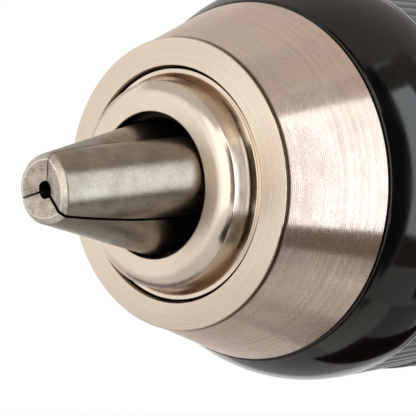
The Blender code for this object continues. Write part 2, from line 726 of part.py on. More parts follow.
jaw_guides = [make_jaw(number + 1, JAW_STEEL) for number in range(JAW_COUNT)]
make_body(BODY_STEEL, jaw_guides)
make_nose_ring(NICKEL)
make_cone_shroud(NICKEL)
make_grip_sleeve(BLACK_PLASTIC)
make_nut_half("nut_half_a", 0.0, NUT_STEEL)
make_nut_half("nut_half_b", math.pi, NUT_STEEL)
make_nut_collar(NUT_STEEL)
flat_ring("nut_race", RACE_FRONT, RACE_THICKNESS, RACE_INNER, RACE_OUTER, BEARING_STEEL)
flat_ring("thrust_ring", THRUST_RING_FRONT, RACE_THICKNESS, RACE_INNER, RACE_OUTER, BEARING_STEEL)
make_ball_cage(CAGE_PLASTIC)
make_balls(BEARING_STEEL)
make_retaining_screw(SPRING_STEEL)
make_rear_cover(ZINC)
make_retaining_clip(SPRING_STEEL)
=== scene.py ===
"""Looks of the keyless drill chuck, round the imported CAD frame.

Lengths in outlines are in millimetres. A station is measured rearwards along the axis from the front face
of the cone shroud, and a reach outwards from the axis, as in the CAD.
"""

import math

import bmesh
import bpy
from mathutils import Matrix, Vector

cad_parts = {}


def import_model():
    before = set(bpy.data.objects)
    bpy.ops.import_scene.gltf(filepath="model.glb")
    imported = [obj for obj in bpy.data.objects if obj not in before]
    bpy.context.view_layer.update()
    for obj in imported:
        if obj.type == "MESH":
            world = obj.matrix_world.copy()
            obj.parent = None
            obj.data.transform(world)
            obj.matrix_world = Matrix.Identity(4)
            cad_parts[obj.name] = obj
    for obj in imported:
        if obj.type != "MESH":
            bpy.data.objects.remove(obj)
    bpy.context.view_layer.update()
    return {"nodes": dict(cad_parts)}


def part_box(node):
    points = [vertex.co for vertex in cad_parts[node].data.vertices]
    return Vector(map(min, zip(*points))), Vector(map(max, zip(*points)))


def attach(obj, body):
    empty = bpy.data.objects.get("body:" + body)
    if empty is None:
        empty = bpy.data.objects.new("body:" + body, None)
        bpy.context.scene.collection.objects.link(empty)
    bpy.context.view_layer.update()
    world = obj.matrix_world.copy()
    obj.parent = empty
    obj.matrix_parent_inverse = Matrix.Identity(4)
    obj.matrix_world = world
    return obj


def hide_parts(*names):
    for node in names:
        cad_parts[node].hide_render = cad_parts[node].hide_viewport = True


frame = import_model()

MM = 0.001
FACE_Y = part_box("cone_shroud")[0].y
SEAT = -FACE_Y / MM

# The jaws' lines and the thread on them, as in the CAD
JAWS = (1, 2, 3)
TIP = -17.1
JAW_ANGLE = math.radians(15.0)
JAW_RADIUS = 3.9
JAW_OFFSET = -0.7
JAW_PHASE = math.radians(-17.0)
JAW_LENGTH = 45.643
BORE_GAP = 0.15
THREAD_PITCH = 2.4
THREAD_FRONT = 19.459

# Main stations and reaches of the other pieces, as in the CAD
RING_FLANGE_RADIUS = 11.738
CONE_REAR = 11.059
SLEEVE_FRONT = 11.309
SLEEVE_REAR = 53.537
COVER_FRONT = 50.537
COVER_REAR = 52.037
GROOVE_FRONT = 52.087
GROOVE_REAR = 53.587
FLANGE_REAR = 33.059
HUB_RADIUS = 11.9
SPINDLE_RADIUS = 6.3

# Edges sharper than this, in degrees, stay sharp in smooth shading
SHARP = 32.0


# ---------------------------------------------------------------- geometry helpers


def place_axis():
    """World matrix of the chuck's axis: local +Z runs rearwards, from the shroud's front face."""
    return Matrix.Translation((0.0, FACE_Y, 0.0)) @ Matrix.Rotation(-math.pi / 2, 4, "X")


AXIS = place_axis()
SCALE = Matrix.Scale(MM, 4)


def plane(station):
    """The world Y of a station, in metres."""
    return FACE_Y + station * MM


def jaw_turn(number):
    """The angle of a jaw's side of the chuck about the axis."""
    return JAW_PHASE + 2 * math.pi * (number - 1) / len(JAWS)


def jaw_matrix(number):
    """A jaw's own frame on the axis: its tip at the origin and local +Z rearwards along its bore."""
    turn = Matrix.Rotation(jaw_turn(number), 4, "Z")
    lean = Matrix.Rotation(JAW_ANGLE, 4, "Y")
    return turn @ Matrix.Translation((0, 0, TIP)) @ lean @ Matrix.Translation((JAW_OFFSET, 0, 0))


def jaw_reach(station):
    """The reach of a jaw's outermost line."""
    return (JAW_OFFSET + JAW_RADIUS) / math.cos(JAW_ANGLE) + (station - TIP) * math.tan(JAW_ANGLE)


def soft(points, steps=5):
    """Rounds the corners of a closed outline. Each point is (station, reach) or (station, reach, radius)."""
    longest_share = 0.49
    out = []
    for index, point in enumerate(points):
        corner = Vector(point[:2])
        radius = point[2] if len(point) > 2 else 0.0
        if radius <= 0:
            out.append(tuple(corner))
            continue
        before = Vector(points[index - 1][:2]) - corner
        after = Vector(points[(index + 1) % len(points)][:2]) - corner
        start = corner + before.normalized() * min(radius, before.length * longest_share)
        end = corner + after.normalized() * min(radius, after.length * longest_share)
        for step in range(steps + 1):
            share = step / steps
            offset = (start - corner) * (1 - share) ** 2 + (end - corner) * share**2
            out.append(tuple(corner + offset))
    return out


def finish_mesh(name, shape, sharp=SHARP):
    """Turns a shape into a smooth-shaded mesh with sharp edges above an angle in degrees."""
    bmesh.ops.remove_doubles(shape, verts=shape.verts, dist=1e-4)
    bmesh.ops.recalc_face_normals(shape, faces=shape.faces)
    mesh = bpy.data.meshes.new(name)
    shape.to_mesh(mesh)
    shape.free()
    mesh.shade_smooth()
    mesh.set_sharp_from_angle(angle=math.radians(sharp))
    return mesh


def add(name, mesh, finish, matrix):
    """Puts a mesh with its finish into the scene, with its place in the mesh as the frame's nodes have it."""
    mesh.transform(matrix)
    made = bpy.data.objects.new(name, mesh)
    bpy.context.scene.collection.objects.link(made)
    mesh.materials.append(finish)
    return made


def ring_at(shape, angle, section):
    """The vertices of a section of (station, reach) points, turned to an angle about the axis."""
    across, up = math.cos(angle), math.sin(angle)
    return [shape.verts.new((reach * across, reach * up, station)) for station, reach in section]


def join_rings(shape, pairs, closed=True):
    """Faces between neighbouring rings. An open section's last point isn't joined to its first."""
    for ring, following in pairs:
        for low in range(len(ring) if closed else len(ring) - 1):
            high = (low + 1) % len(ring)
            shape.faces.new((ring[low], ring[high], following[high], following[low]))


def all_round(shape, rings, closed=True):
    """Joins the rings of a full turn."""
    join_rings(shape, zip(rings, rings[1:] + rings[:1]), closed)


def end_to_end(shape, rings):
    """Joins the rings of a bar or wire and closes both of its ends."""
    join_rings(shape, zip(rings, rings[1:]))
    shape.faces.new(rings[0][::-1])
    shape.faces.new(rings[-1])


def lathe_shape(outline, steps, closed=True):
    """An outline turned about the axis."""
    shape = bmesh.new()
    all_round(shape, [ring_at(shape, 2 * math.pi * step / steps, outline) for step in range(steps)], closed)
    return shape


def lathe(name, outline, finish, body, replaces, steps=240):
    """A turned piece round the chuck's axis, which rides on a body in a node's place."""
    mesh = finish_mesh(name, lathe_shape(outline, steps))
    made = add(name, mesh, finish, AXIS @ SCALE)
    settle(made, body, replaces)
    return made


def settle(made, body, replaces=None):
    """Says which body a piece rides on, and the CAD node it stands for, if any."""
    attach(made, body)
    if replaces:
        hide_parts(replaces)


def cutter(name, shape, matrix):
    """A solid that carve() takes away again once it has cut."""
    bmesh.ops.recalc_face_normals(shape, faces=shape.faces)
    mesh = bpy.data.meshes.new(name)
    shape.to_mesh(mesh)
    shape.free()
    mesh.transform(matrix)
    made = bpy.data.objects.new(name, mesh)
    bpy.context.scene.collection.objects.link(made)
    return made


def carve(target, cutters):
    """Applies each (cutter, operation) to the target for good, and removes the cutters."""
    for tool, operation in cutters:
        modifier = target.modifiers.new("cut", "BOOLEAN")
        modifier.operation = operation
        modifier.solver = "EXACT"
        modifier.object = tool
    bake_modifiers(target)
    for tool, _ in cutters:
        bpy.data.objects.remove(tool)


def bake_modifiers(target):
    """Gives the target the mesh that its modifiers make, and removes them."""
    graph = bpy.context.evaluated_depsgraph_get()
    baked = bpy.data.meshes.new_from_object(target.evaluated_get(graph))
    target.modifiers.clear()
    old = target.data
    target.data = baked
    bpy.data.meshes.remove(old)


def prism(shape, corners, direction):
    """Adds a solid to the shape: a flat face swept along a direction."""
    face = shape.faces.new([shape.verts.new(corner) for corner in corners])
    swept = bmesh.ops.extrude_face_region(shape, geom=[face])
    moved = [item for item in swept["geom"] if isinstance(item, bmesh.types.BMVert)]
    bmesh.ops.translate(shape, verts=moved, vec=direction)


# ---------------------------------------------------------------- materials


class Nodes:
    """A short way to write a material's nodes."""

    def __init__(self, name):
        self.material = bpy.data.materials.new(name)
        self.material.use_nodes = True
        self.tree = self.material.node_tree
        self.shader = self.tree.nodes["Principled BSDF"]
        self.coords = self.tree.nodes.new("ShaderNodeTexCoord").outputs["Object"]

    def link(self, value, socket):
        """Joins another node's socket to a socket, or sets a plain value on it."""
        if isinstance(value, bpy.types.NodeSocket):
            self.tree.links.new(value, socket)
        else:
            socket.default_value = value

    def math(self, operation, first, second=0.0):
        node = self.tree.nodes.new("ShaderNodeMath")
        node.operation = operation
        for socket, value in zip(node.inputs, (first, second)):
            self.link(value, socket)
        return node.outputs[0]

    def axis(self, name):
        node = self.tree.nodes.new("ShaderNodeSeparateXYZ")
        self.link(self.coords, node.inputs[0])
        return node.outputs[name]

    def reach(self):
        """Distance from the chuck's axis, in metres."""
        squares = [self.math("POWER", self.axis(name), 2.0) for name in ("X", "Z")]
        return self.math("SQRT", self.math("ADD", *squares))

    def run(self):
        """Station plus reach, which grows evenly along a turned surface, whether it is a side or a face."""
        return self.math("ADD", self.axis("Y"), self.reach())

    def away(self, value, middle):
        """Distance of a value from a middle one."""
        return self.math("ABSOLUTE", self.math("SUBTRACT", value, middle))

    def scaled(self, value, weight):
        return self.math("MULTIPLY", value, weight)

    def stretched(self, scale, rotation=(0.0, 0.0, 0.0)):
        """Coordinates scaled unevenly, for a noise that runs in streaks."""
        node = self.tree.nodes.new("ShaderNodeMapping")
        self.link(self.coords, node.inputs["Vector"])
        node.inputs["Scale"].default_value = scale
        node.inputs["Rotation"].default_value = rotation
        return node.outputs[0]

    def noise(self, vector, scale, detail, roughness):
        node = self.tree.nodes.new("ShaderNodeTexNoise")
        self.link(vector, node.inputs["Vector"])
        self.link(scale, node.inputs["Scale"])
        self.link(detail, node.inputs["Detail"])
        self.link(roughness, node.inputs["Roughness"])
        return node.outputs["Fac"]

    def line_noise(self, along, scale, detail):
        """Noise that varies only along one value, so it makes lines across it."""
        node = self.tree.nodes.new("ShaderNodeTexNoise")
        node.noise_dimensions = "1D"
        self.link(along, node.inputs["W"])
        self.link(scale, node.inputs["Scale"])
        self.link(detail, node.inputs["Detail"])
        return node.outputs["Fac"]

    def spread(self, value, low, high, to_low=0.0, to_high=1.0):
        """Maps a range of a value onto another range, and holds at its ends."""
        node = self.tree.nodes.new("ShaderNodeMapRange")
        for socket, number in zip(node.inputs, (value, low, high, to_low, to_high)):
            self.link(number, socket)
        return node.outputs[0]

    def mix(self, share, first, second):
        """A colour between two. The colour sockets are inputs 6 and 7, and the mixed colour is output 2."""
        node = self.tree.nodes.new("ShaderNodeMix")
        node.data_type = "RGBA"
        self.link(share, node.inputs[0])
        for socket, value in ((node.inputs[6], first), (node.inputs[7], second)):
            self.link((*value, 1.0) if isinstance(value, tuple) else value, socket)
        return node.outputs[2]

    def bump(self, height, distance, strength=1.0):
        node = self.tree.nodes.new("ShaderNodeBump")
        self.link(height, node.inputs["Height"])
        node.inputs["Distance"].default_value = distance
        node.inputs["Strength"].default_value = strength
        return node.outputs[0]

    def turned_tangent(self):
        """The direction round the chuck's axis, which is the world's Y, as a lathe's lines run."""
        node = self.tree.nodes.new("ShaderNodeTangent")
        node.direction_type = "RADIAL"
        node.axis = "Y"
        return node.outputs[0]

    def set(self, **sockets):
        """Sets the shader's sockets by name, with _ for a space, and gives the material."""
        for name, value in sockets.items():
            socket = self.shader.inputs[name.replace("_", " ")]
            if isinstance(value, tuple) and len(value) == 3:
                value = (*value, 1.0)
            self.link(value, socket)
        return self.material


# The painted shade in the groove at the cone's step: its station, and how far from it the shade is full and
# then gone
STEP_GROOVE_MIDDLE = 0.42
GROOVE_SHADE_FULL = 0.24
GROOVE_SHADE_GONE = 0.36


def turned_nickel(name, pitch, depth, gloss, low, high, anisotropic):
    """Nickel with a lathe's fine feed lines on sides and faces alike, and painted shade in the groove at the
    cone's step.
    """
    n = Nodes(name)
    along = n.run()
    lines = n.math("SINE", n.scaled(along, 2 * math.pi / (pitch * MM)))
    uneven = n.line_noise(along, 1 / (3.1 * pitch * MM), 3.0)
    coarse = n.line_noise(along, 1 / (11.0 * pitch * MM), 1.0)
    height = n.math("ADD", n.scaled(lines, 0.5), n.scaled(uneven, 1.4))
    height = n.math("ADD", height, n.scaled(coarse, 0.8))
    patches = n.noise(n.coords, 260.0, 4.0, 0.6)
    stain = n.noise(n.coords, 70.0, 3.0, 0.55)
    colour = n.mix(n.spread(stain, 0.35, 0.65), low, high)
    grooves = n.spread(n.math("ADD", n.scaled(lines, 0.25), uneven), 0.2, 0.85)
    colour = n.mix(n.scaled(grooves, 0.26), colour, (0.40, 0.32, 0.26))
    # Painted shade: the groove at the cone's step is darkened to dark brown
    from_step_groove = n.away(n.axis("Y"), plane(STEP_GROOVE_MIDDLE))
    groove_shade = n.spread(from_step_groove, GROOVE_SHADE_FULL * MM, GROOVE_SHADE_GONE * MM, 0.95, 0.0)
    colour = n.mix(groove_shade, colour, (0.11, 0.065, 0.035))
    rough = n.spread(patches, 0.3, 0.7, gloss - 0.03, gloss + 0.05)
    rough = n.math("ADD", rough, n.scaled(grooves, 0.05))
    return n.set(
        Base_Color=colour,
        Roughness=rough,
        Metallic=1.0,
        Anisotropic=anisotropic,
        Anisotropic_Rotation=0.25,
        Tangent=n.turned_tangent(),
        Normal=n.bump(height, depth * MM),
    )


# The reach of the nose ring's foot, how far from it the darker brown is full and then gone, and the stations
# between which the ring's dull front face gives way to its polished side
RING_FOOT = 11.02
FOOT_DARK_FULL = 0.1
FOOT_DARK_GONE = 0.34
DULL_FRONT = -3.16
DULL_REAR = -2.9


def polished_nickel():
    """The nose ring: nearly a mirror, with hairlines and scuffs, a dull front face and a darker brown foot.
    """
    n = Nodes("polished_nickel")
    hair = n.line_noise(n.run(), 9000.0, 4.0)
    scuffs = n.noise(n.coords, 900.0, 6.0, 0.7)
    smear = n.noise(n.coords, 160.0, 3.0, 0.5)
    colour = n.mix(n.spread(smear, 0.3, 0.7), (0.76, 0.63, 0.51), (0.83, 0.71, 0.59))
    # Darker brown round the ring's foot, unevenly
    from_foot = n.away(n.reach(), RING_FOOT * MM)
    foot_dark = n.math("SUBTRACT", 1.0, n.spread(from_foot, FOOT_DARK_FULL * MM, FOOT_DARK_GONE * MM))
    foot_dark = n.math("MULTIPLY", foot_dark, n.spread(smear, 0.3, 0.6, 0.55, 0.9))
    colour = n.mix(foot_dark, colour, (0.27, 0.17, 0.09))
    rough = n.spread(scuffs, 0.3, 0.75, 0.0, 0.1)
    rough = n.math("ADD", rough, n.spread(n.axis("Y"), plane(DULL_FRONT), plane(DULL_REAR), 0.30, 0.14))
    height = n.math("ADD", hair, n.scaled(scuffs, 0.6))
    return n.set(
        Base_Color=colour,
        Roughness=rough,
        Metallic=1.0,
        Anisotropic=0.35,
        Anisotropic_Rotation=0.25,
        Tangent=n.turned_tangent(),
        Normal=n.bump(height, 0.0028 * MM),
    )


def jaw_steel():
    """Ground steel with scratches along the jaw, darker stains and worn spots."""
    n = Nodes("jaw_steel")
    along = n.noise(n.stretched((9000.0, 420.0, 9000.0)), 1.0, 3.0, 0.6)
    fine = n.noise(n.coords, 5200.0, 4.0, 0.7)
    stain = n.noise(n.coords, 420.0, 4.0, 0.62)
    flecks = n.noise(n.coords, 1900.0, 3.0, 0.7)
    colour = n.mix(n.spread(stain, 0.34, 0.66), (0.228, 0.183, 0.135), (0.343, 0.284, 0.214))
    colour = n.mix(n.spread(along, 0.35, 0.68, 0.0, 0.35), colour, (0.48, 0.42, 0.335))
    colour = n.mix(n.spread(fine, 0.5, 0.72, 0.0, 0.45), colour, (0.52, 0.455, 0.37))
    colour = n.mix(n.spread(flecks, 0.58, 0.74, 0.0, 0.45), colour, (0.13, 0.11, 0.09))
    wear = n.math("ADD", n.scaled(along, 0.5), n.scaled(fine, 0.5))
    rough = n.spread(wear, 0.3, 0.7, 0.26, 0.37)
    height = n.math("ADD", along, n.scaled(fine, 0.4))
    return n.set(Base_Color=colour, Roughness=rough, Metallic=1.0, Normal=n.bump(height, 0.0026 * MM))


def tip_steel(name, low, high):
    """The ground tip faces: scratched in every direction, with rust-brown specks."""
    n = Nodes(name)
    one = n.noise(n.stretched((14000.0, 900.0, 1500.0), (0.3, 0.0, 0.6)), 1.0, 3.0, 0.65)
    two = n.noise(n.stretched((1500.0, 900.0, 14000.0), (0.0, 0.0, 0.4)), 1.0, 3.0, 0.65)
    specks = n.noise(n.coords, 2600.0, 3.0, 0.75)
    blot = n.noise(n.coords, 700.0, 3.0, 0.6)
    scratch = n.math("MAXIMUM", one, two)
    colour = n.mix(n.spread(blot, 0.35, 0.68), low, high)
    colour = n.mix(n.spread(scratch, 0.57, 0.67, 0.0, 0.8), colour, (0.86, 0.80, 0.70))
    colour = n.mix(n.spread(specks, 0.60, 0.72, 0.0, 0.75), colour, (0.16, 0.12, 0.09))
    rough = n.spread(scratch, 0.45, 0.75, 0.42, 0.30)
    return n.set(Base_Color=colour, Roughness=rough, Metallic=1.0, Normal=n.bump(scratch, 0.012 * MM))


# Stations between which the darkening towards the nose fades, and how far its edge wanders
NOSE_DARKENING_FRONT = 3
NOSE_DARKENING_REAR = 22
NOSE_DARKENING_UNEVEN = 4


def plain_steel(name, low, high, roughness, turned=True, depth=0.004, darker_at_nose=False):
    """Bare steel. A piece can be made nearly black towards the chuck's nose."""
    n = Nodes(name)
    lines = n.line_noise(n.run(), 6000.0, 3.0)
    grain = n.noise(n.coords, 2400.0, 4.0, 0.65)
    blot = n.noise(n.coords, 300.0, 3.0, 0.55)
    height = n.math("ADD", n.scaled(lines, 1.0 if turned else 0.1), n.scaled(grain, 0.5))
    colour = n.mix(n.spread(blot, 0.35, 0.65), low, high)
    if darker_at_nose:
        # Nearly black towards the chuck's nose, along an uneven edge
        uneven = n.math("ADD", n.axis("Y"), n.scaled(blot, NOSE_DARKENING_UNEVEN * MM))
        nose_darkening = n.spread(uneven, plane(NOSE_DARKENING_FRONT), plane(NOSE_DARKENING_REAR), 1.0, 0.0)
        colour = n.mix(nose_darkening, colour, (0.012, 0.010, 0.008))
    rough = n.spread(grain, 0.3, 0.7, roughness - 0.05, roughness + 0.08)
    return n.set(Base_Color=colour, Roughness=rough, Metallic=1.0, Normal=n.bump(height, depth * MM))


# Stations between which the sleeve's worn lip fades in and out, and its greyer grip fades in
WORN_LIP_FRONT = (21.12, 21.3)
WORN_LIP_REAR = (21.42, 21.62)
GRIP_FRONT = (21.4, 21.7)


def black_plastic():
    """Satin moulded plastic with a fine grain and dust, and a worn lip with a greyer grip behind it."""
    n = Nodes("black_plastic")
    grain = n.noise(n.coords, 5200.0, 3.0, 0.6)
    mottle = n.noise(n.coords, 240.0, 4.0, 0.6)
    dust = n.noise(n.coords, 3400.0, 2.0, 0.8)
    colour = n.mix(n.spread(mottle, 0.3, 0.7), (0.0018, 0.0018, 0.0018), (0.0035, 0.0033, 0.003))
    colour = n.mix(n.spread(dust, 0.70, 0.80, 0.0, 0.25), colour, (0.06, 0.055, 0.05))
    grip = n.spread(n.axis("Y"), *map(plane, GRIP_FRONT))
    colour = n.mix(grip, colour, (0.045, 0.045, 0.044))
    wear_start = n.spread(n.axis("Y"), *map(plane, WORN_LIP_FRONT))
    wear_end = n.spread(n.axis("Y"), *map(plane, WORN_LIP_REAR), 1.0, 0.0)
    colour = n.mix(n.math("MULTIPLY", wear_start, wear_end), colour, (0.30, 0.30, 0.295))
    rough = n.math("ADD", n.spread(mottle, 0.3, 0.7, 0.08, 0.13), n.scaled(grip, 0.2))
    return n.set(
        Base_Color=colour,
        Roughness=rough,
        Metallic=0.0,
        IOR=1.49,
        Specular_Tint=(1.0, 0.965, 0.87),
        Normal=n.bump(grain, 0.001 * MM, 0.6),
    )


def nylon():
    """The ball cage's plastic, yellowed and faintly grainy."""
    n = Nodes("cage_nylon")
    grain = n.noise(n.coords, 1800.0, 3.0, 0.6)
    colour = n.mix(n.spread(grain, 0.3, 0.7), (0.50, 0.40, 0.22), (0.60, 0.50, 0.30))
    rough = n.spread(grain, 0.3, 0.7, 0.42, 0.55)
    return n.set(Base_Color=colour, Roughness=rough, Normal=n.bump(grain, 0.004 * MM))


NICKEL_FACE = turned_nickel(
    "turned_nickel",
    pitch=0.26,
    depth=0.0030,
    gloss=0.26,
    low=(0.815, 0.645, 0.525),
    high=(0.80, 0.70, 0.56),
    anisotropic=0.8,
)
NICKEL_CONE = turned_nickel(
    "turned_nickel_cone",
    pitch=0.27,
    depth=0.0050,
    gloss=0.23,
    low=(0.91, 0.68, 0.57),
    high=(0.885, 0.73, 0.60),
    anisotropic=1.0,
)
NICKEL_RING = polished_nickel()
JAW = jaw_steel()
TIP_FACE = tip_steel("tip_steel", (0.34, 0.28, 0.22), (0.58, 0.51, 0.43))
# The slits' sides and the hole's walls, nearly black: painted shade
SLIT_SHADE = plain_steel(
    "slit_shade_steel", (0.035, 0.032, 0.028), (0.07, 0.065, 0.055), roughness=0.45, turned=False
)
TIP_EDGE = tip_steel("tip_edge_steel", (0.50, 0.435, 0.36), (0.68, 0.61, 0.525))
# The rounding between each tip and its chamfer, much lighter than the tip: a painted highlight, with the
# tip's scratches
RIM_HIGHLIGHT = tip_steel("rim_highlight_steel", (0.66, 0.60, 0.53), (0.84, 0.79, 0.72))
BODY = plain_steel("body_steel", (0.20, 0.19, 0.18), (0.30, 0.28, 0.26), 0.34, darker_at_nose=True)
NUT = plain_steel("nut_steel", (0.27, 0.26, 0.25), (0.38, 0.37, 0.36), 0.38)
BEARING = plain_steel(
    "bearing_steel", (0.56, 0.56, 0.56), (0.66, 0.66, 0.66), roughness=0.14, turned=False, depth=0.001
)
ZINC = plain_steel("zinc_plate", (0.56, 0.56, 0.53), (0.62, 0.62, 0.59), 0.32)
OXIDE = plain_steel(
    "black_oxide", (0.05, 0.05, 0.055), (0.09, 0.09, 0.095), roughness=0.38, turned=False, depth=0.003
)
PLASTIC = black_plastic()
NYLON = nylon()


# ---------------------------------------------------------------- nose ring and cone shroud


NOSE_FRONT = -3.2
NOSE_HOLE = 7.337
NOSE_LIP = 0.9
RING_BORE = 9.838
RING_OUTER = 11.088
RING_REAR = 3.2


def nose_ring():
    """The ring round the jaws: a lip with a flared hole, the rounded side, the foot and the flange."""
    lip_rear = NOSE_FRONT + NOSE_LIP
    outline = [
        (lip_rear, NOSE_HOLE + NOSE_LIP * math.tan(JAW_ANGLE), 0.08),
        (NOSE_FRONT, NOSE_HOLE, 0.22),
        (NOSE_FRONT, 9.3, 0.45),
        (-2.74, 10.04, 0.4),
        (-2.27, 10.46, 0.07),
        (-1.2, 10.68, 0.4),
        (-0.55, 10.88, 0.3),
        (-0.1, 11.16, 0.15),
        (0.1, 11.32, 0.08),
        (0.1, RING_FLANGE_RADIUS, 0.05),
        (0.9, RING_FLANGE_RADIUS, 0.1),
        (0.9, RING_OUTER),
        (RING_REAR, RING_OUTER, 0.2),
        (RING_REAR, RING_BORE, 0.2),
        (lip_rear, RING_BORE),
    ]
    lathe("nose_ring_polished", soft(outline, 8), NICKEL_RING, "chuck", "nose_ring", 288)


CONE_REAR_RADIUS = 19.038
SPIGOT_RADIUS = 18.238
SPIGOT_BORE = 17.05
SPIGOT_END = 15.36
SHROUD_HOLE = 11.988
FACE_REAR = 1.2
STEEPEST_CONE = 0.6


def cone_shroud():
    """The annulus, raised a little towards its hole, the step at its edge, the cone and the spigot."""
    outline = [
        (-0.34, 12.1, 0.08),
        (0.0, 14.88, 0.08),
        (0.14, 14.93, 0.05),
        (0.2, 14.66, 0.04),
        (0.62, 14.70, 0.04),
        (0.7, 14.99, 0.05),
        (CONE_REAR, CONE_REAR_RADIUS, 0.14),
        (CONE_REAR, SPIGOT_RADIUS),
        (SPIGOT_END, SPIGOT_RADIUS, 0.2),
        (SPIGOT_END, SPIGOT_BORE),
        (9.86, SPIGOT_BORE),
        (FACE_REAR, 13.65),
        (FACE_REAR, SHROUD_HOLE, 0.12),
    ]
    made = lathe(
        "cone_shroud_turned", soft(outline), NICKEL_FACE, "sleeve_and_nut", "cone_shroud", 288
    )
    made.data.materials.append(NICKEL_CONE)
    for face in made.data.polygons:
        if abs(face.normal.y) < STEEPEST_CONE:
            face.material_index = 1


# ---------------------------------------------------------------- sleeve

RIBS = 96
STEPS_PER_RIB = 8
RIB_DEPTH = 0.2
REAR_RIB_DEPTH = 0.38
RIB_SHAPE = 3.2
RIBS_START = (22.25, 22.21)
BAND_START = (34.1, 22.77)
REAR_RIBS_START = (38.0, 22.64)
BULGE_START = 11.659
BULGE_LENGTH = 9.2
BULGE_FOOT = 19.38
BULGE_RISE = 3.0
END_ROUNDING = 1.4
END_ROUNDING_CENTRE = (52.137, 21.838)


def straight(start, length, rise, steps, depth):
    """Evenly spaced rows from a (station, reach) point on, without that point, with ribs of one depth."""
    station, reach = start
    shares = [step / steps for step in range(1, steps + 1)]
    return [(station + length * share, reach + rise * share, depth) for share in shares]


def bulge(steps):
    """The sleeve's front, which rises like a parabola to its greatest reach."""
    shares = [step / steps for step in range(1, steps + 1)]
    return [
        (BULGE_START + BULGE_LENGTH * share, BULGE_FOOT + BULGE_RISE * (1 - (1 - share) ** 2), 0)
        for share in shares
    ]


def rounded_end(steps):
    """The quarter round at the sleeve's rear edge."""
    station, reach = END_ROUNDING_CENTRE
    angles = [math.radians(90 * step / steps) for step in range(1, steps + 1)]
    return [(station + END_ROUNDING * math.sin(a), reach + END_ROUNDING * math.cos(a), 0) for a in angles]


def sleeve_outline():
    """(station, reach, rib depth) down the outer side: bulge, lip, ribs, band, deeper ribs and rim."""
    edge = [(SLEEVE_FRONT, 18.93, 0), (11.315, 19.06, 0), (11.34, 19.16, 0), (11.42, 19.25, 0)]
    bulge_start = [(BULGE_START, 19.39, 0)]
    lip = [(21.20, 22.39, 0), (21.38, 22.41, 0), (21.50, 22.41, 0), (21.56, 22.40, 0)]
    ribs_start = [(21.62, 22.36, 0.04), (21.70, 22.28, 0.12), (21.80, 22.22, 0.19), (*RIBS_START, RIB_DEPTH)]
    ribs_end = [(33.0, 22.24, 0.18), (33.15, 22.30, 0.12), (33.3, 22.40, 0.04), (33.42, 22.5, 0)]
    band_start = [(33.55, 22.60, 0), (33.8, 22.72, 0), (*BAND_START, 0)]
    band_end = [(36.95, 22.82, 0), (37.15, 22.78, 0), (37.32, 22.68, 0)]
    rear_ribs_start = [(37.5, 22.64, 0.05), (37.75, 22.64, 0.2), (*REAR_RIBS_START, 0.34)]
    rear_ribs_end = [(50.4, 22.80, 0.32), (50.6, 22.86, 0.18), (50.8, 22.96, 0.06), (51.0, 23.08, 0)]
    rim = [(51.3, 23.2, 0), (51.7, 23.238, 0), (52.1, 23.238, 0)]
    return [
        *edge,
        *bulge_start,
        *bulge(24),
        *lip,
        *ribs_start,
        *straight(RIBS_START, length=10.55, rise=0.0, steps=12, depth=RIB_DEPTH),
        *ribs_end,
        *band_start,
        *straight(BAND_START, length=2.6, rise=0.05, steps=4, depth=0),
        *band_end,
        *rear_ribs_start,
        *straight(REAR_RIBS_START, length=12.2, rise=0.14, steps=12, depth=REAR_RIB_DEPTH),
        *rear_ribs_end,
        *rim,
        *rounded_end(8),
    ]


def sleeve_bore():
    """The sleeve's inner side from its rear to its front, stepped for the nut, its race and the spigot."""
    corners = [(SLEEVE_REAR, 20.844), (FLANGE_REAR, 20.844), (FLANGE_REAR, 20.438), (25.06, 20.438)]
    corners += [(25.06, 19.859), (16.259, 19.859), (16.259, 18.488), (SLEEVE_FRONT, 18.488)]
    return [(station, reach, 0) for station, reach in corners]


def rib_wave(turn):
    """Height of the ribs from 0 to 1, round-topped with narrower grooves between them."""
    share = (turn * RIBS) % 1.0
    return 1.0 - abs(2 * share - 1) ** RIB_SHAPE


def grip_sleeve():
    """The hand sleeve, with ribs that run along it and fade out at both ends of each grip."""
    steps = RIBS * STEPS_PER_RIB
    rows = sleeve_outline() + sleeve_bore()
    shape = bmesh.new()
    rings = []
    for step in range(steps):
        wave = rib_wave(step / steps)
        section = [(station, reach + depth * wave) for station, reach, depth in rows]
        rings.append(ring_at(shape, 2 * math.pi * step / steps, section))
    all_round(shape, rings)
    made = add("grip_sleeve_moulded", finish_mesh("grip_sleeve", shape, 50.0), PLASTIC, AXIS @ SCALE)
    settle(made, "sleeve_and_nut", "grip_sleeve")


# ---------------------------------------------------------------- jaws

TIP_CHAMFER = 0.5
TAIL_CHAMFER = 1.2
HOLE_RADIUS = 0.88
HOLE_SIDES = 12
EDGE_ROUNDING = 0.1

# Half the width of the slits on both sides of each jaw, unequal as in the photograph
HALF_SLITS = {1: (0.05, 0.17), 2: (0.17, 0.1), 3: (0.1, 0.05)}

# The thread's grooves: the first and last station, the depth, half the flat floor and the flank's slope
GROOVES = (-2.6, 26.159)
GROOVE_DEPTH = 1.3
GROOVE_HALF_FLOOR = 0.5
GROOVE_FLANK = 0.3 / 1.05

# How far the cutters stand out of the jaw, pass its sides, and reach along and out from the axis
PROUD = 1.0
PAST_JAW = 8.0
CUT_FRONT = -80
CUT_LENGTH = 200
CUT_REACH = 90.0

# How far a face near the tip leans to the front, and one in the slits to the axis, as a share of its normal
FORWARD = 0.2
FORWARD_RIM_HIGHLIGHT = 0.74
FORWARD_FLAT = 0.985
INWARD = -0.8

# How far behind the tip a face still belongs to it
TIP_DEPTH = 1.0


def jaw_side(number):
    """The chuck's own frame, turned so that local +X points to a jaw's side."""
    return AXIS @ SCALE @ Matrix.Rotation(jaw_turn(number), 4, "Z")


